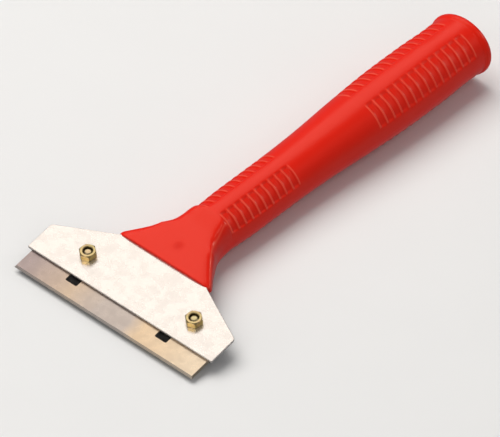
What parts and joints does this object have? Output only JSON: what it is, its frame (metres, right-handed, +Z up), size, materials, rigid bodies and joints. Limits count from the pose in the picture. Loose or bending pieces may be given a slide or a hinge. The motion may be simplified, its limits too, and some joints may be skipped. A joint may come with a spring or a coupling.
{
  "type": "floor scraper",
  "caption": "Hand floor scraper: a notched cross blade clamped under a tapered steel head plate by nuts, on a bent-down ribbed red plastic grip.",
  "frame": {"origin": "middle of the footprint on the surface the tool lies on, nuts up, resting on the heel behind its paddle and on the end of its grip, with the cutting edge just clear of the surface", "axes": "+X along the cutting edge, +Y from the blade to the end of the grip, +Z up; the YZ plane is the middle of the head plate, blade and handle"},
  "size_m": [0.1036, 0.2468, 0.0302],
  "materials": {
    "red_plastic": "glossy red moulding, ribbed",
    "plug_plastic": "glossy red moulding",
    "plate_steel": "satin stainless steel",
    "blade_steel": "polished spring steel",
    "bar_steel": "black finished steel",
    "lug_steel": "black finished steel",
    "yellow_zinc": "yellow plated"
  },
  "bodies": {
    "tool": {"head_plate": "plate_steel", "handle": "red_plastic", "end_plug": "plug_plastic"},
    "clamp": {"clamp_bar": "bar_steel", "lug_left": "lug_steel", "lug_right": "lug_steel", "screw_left": "yellow_zinc", "screw_right": "yellow_zinc"},
    "blade": {"blade": "blade_steel"},
    "nut_left": {"nut_left": "yellow_zinc"},
    "nut_right": {"nut_right": "yellow_zinc"}
  },
  "joints": [
    {"name": "nut_left_spin", "type": "hinge", "parent": "tool", "child": "nut_left", "pos_m": [-0.0277, -0.10159, 0.00954], "axis": [0, -0.2211, 0.9753], "range_deg": [0, 720]},
    {"name": "nut_right_spin", "type": "hinge", "parent": "tool", "child": "nut_right", "pos_m": [0.0321, -0.10159, 0.00954], "axis": [0, -0.2211, 0.9753], "range_deg": [0, 720]},
    {"name": "clamp_drop", "type": "slide", "parent": "tool", "child": "clamp", "axis": [0, 0.2211, -0.9753], "range_m": [0, 0.0014]},
    {"name": "blade_slide", "type": "slide", "parent": "tool", "child": "blade", "axis": [0, -0.9753, -0.2211], "range_m": [0, 0.0075]}
  ],
  "couplings": [
    {"joint": "nut_left_spin", "follows": "clamp_drop", "rad_per_m": 8975.9},
    {"joint": "nut_right_spin", "follows": "clamp_drop", "rad_per_m": 8975.9}
  ]
}
